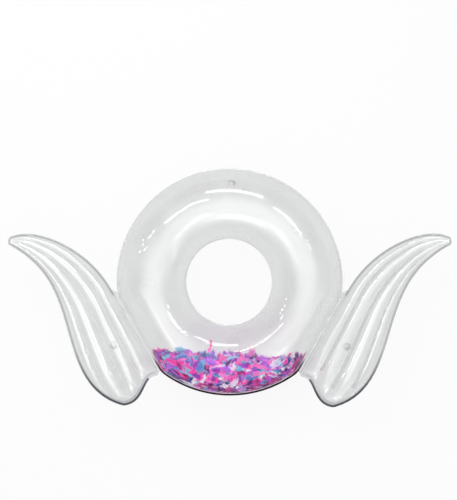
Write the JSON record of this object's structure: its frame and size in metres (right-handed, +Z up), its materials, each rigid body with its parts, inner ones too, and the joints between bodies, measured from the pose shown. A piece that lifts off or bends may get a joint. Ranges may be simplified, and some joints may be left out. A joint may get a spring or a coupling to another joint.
{
  "type": "inflatable pool float",
  "caption": "Clear inflatable swim ring with a wing on each side, loose coloured feathers sealed in the ring, and push-in inflation valves.",
  "frame": {"origin": "middle of the footprint, on the surface that the ring lies on", "axes": "+Z up along the ring axis, towards the front sheet; +X along the wing span; +Y towards the head of the ring, away from the feathers"},
  "size_m": [1.8128, 0.97, 0.276],
  "materials": {
    "clear_film": "clear glossy vinyl film, slightly milky",
    "soft_moulding": "frosted clear soft moulding",
    "feathers_pink": "matte downy feather, hot pink",
    "feathers_purple": "matte downy feather, purple",
    "feathers_blue": "matte downy feather, blue",
    "feathers_white": "matte downy feather, pale lilac"
  },
  "bodies": {
    "ring": {"ring_front_sheet": "clear_film", "ring_back_sheet": "clear_film", "ring_valve_base": "soft_moulding", "feathers_pink": "feathers_pink", "feathers_purple": "feathers_purple", "feathers_blue": "feathers_blue", "feathers_white": "feathers_white", "left_wing_root_web": "clear_film", "right_wing_root_web": "clear_film"},
    "ring_valve_stem": {"ring_valve_stem": "soft_moulding"},
    "ring_valve_plug": {"ring_valve_plug": "soft_moulding"},
    "ring_valve_flap": {"ring_valve_flap": "soft_moulding"},
    "left_wing": {"left_wing_front_panel": "clear_film", "left_wing_back_panel": "clear_film", "left_wing_rib_1": "clear_film", "left_wing_rib_2": "clear_film", "left_wing_rib_3": "clear_film", "left_valve_base": "soft_moulding"},
    "left_valve_stem": {"left_valve_stem": "soft_moulding"},
    "left_valve_plug": {"left_valve_plug": "soft_moulding"},
    "left_valve_flap": {"left_valve_flap": "soft_moulding"},
    "right_wing": {"right_wing_front_panel": "clear_film", "right_wing_back_panel": "clear_film", "right_wing_rib_1": "clear_film", "right_wing_rib_2": "clear_film", "right_wing_rib_3": "clear_film", "right_valve_base": "soft_moulding"},
    "right_valve_stem": {"right_valve_stem": "soft_moulding"},
    "right_valve_plug": {"right_valve_plug": "soft_moulding"},
    "right_valve_flap": {"right_valve_flap": "soft_moulding"}
  },
  "joints": [
    {"name": "left_wing_flap", "type": "hinge", "parent": "ring", "child": "left_wing", "pos_m": [-0.37696, -0.18993, 0.138], "axis": [-0.4848, 0.8746, 0], "range_deg": [-20, 18], "stiffness_Nm_per_rad": 17},
    {"name": "right_wing_flap", "type": "hinge", "parent": "ring", "child": "right_wing", "pos_m": [0.37696, -0.18993, 0.138], "axis": [-0.4848, -0.8746, 0], "range_deg": [-20, 18], "stiffness_Nm_per_rad": 17},
    {"name": "ring_stem_slide", "type": "slide", "parent": "ring", "child": "ring_valve_stem", "axis": [0, 0.6428, -0.766], "range_m": [0, 0.01]},
    {"name": "ring_plug_hinge", "type": "hinge", "parent": "ring_valve_stem", "child": "ring_valve_plug", "pos_m": [-0.0105, 0.43049, 0.02899], "axis": [0, 0.766, 0.6428], "range_deg": [0, 115]},
    {"name": "ring_flap_hinge", "type": "hinge", "parent": "ring_valve_stem", "child": "ring_valve_flap", "pos_m": [-0.0068, 0.41545, 0.04692], "axis": [0, -0.766, -0.6428], "range_deg": [0, 50], "stiffness_Nm_per_rad": 0.0005},
    {"name": "left_stem_slide", "type": "slide", "parent": "left_wing", "child": "left_valve_stem", "axis": [-0.2116, -0.1173, -0.9703], "range_m": [0, 0.01]},
    {"name": "left_plug_hinge", "type": "hinge", "parent": "left_valve_stem", "child": "left_valve_plug", "pos_m": [-0.4742, -0.24014, 0.10553], "axis": [0.4848, -0.8746, 0], "range_deg": [0, 115]},
    {"name": "left_flap_hinge", "type": "hinge", "parent": "left_valve_stem", "child": "left_valve_flap", "pos_m": [-0.47239, -0.23914, 0.12913], "axis": [-0.4848, 0.8746, 0], "range_deg": [0, 50], "stiffness_Nm_per_rad": 0.0005},
    {"name": "right_stem_slide", "type": "slide", "parent": "right_wing", "child": "right_valve_stem", "axis": [0.2116, -0.1173, -0.9703], "range_m": [0, 0.01]},
    {"name": "right_plug_hinge", "type": "hinge", "parent": "right_valve_stem", "child": "right_valve_plug", "pos_m": [0.4742, -0.24014, 0.10553], "axis": [0.4848, 0.8746, 0], "range_deg": [0, 115]},
    {"name": "right_flap_hinge", "type": "hinge", "parent": "right_valve_stem", "child": "right_valve_flap", "pos_m": [0.47239, -0.23914, 0.12913], "axis": [-0.4848, -0.8746, 0], "range_deg": [0, 50], "stiffness_Nm_per_rad": 0.0005}
  ]
}
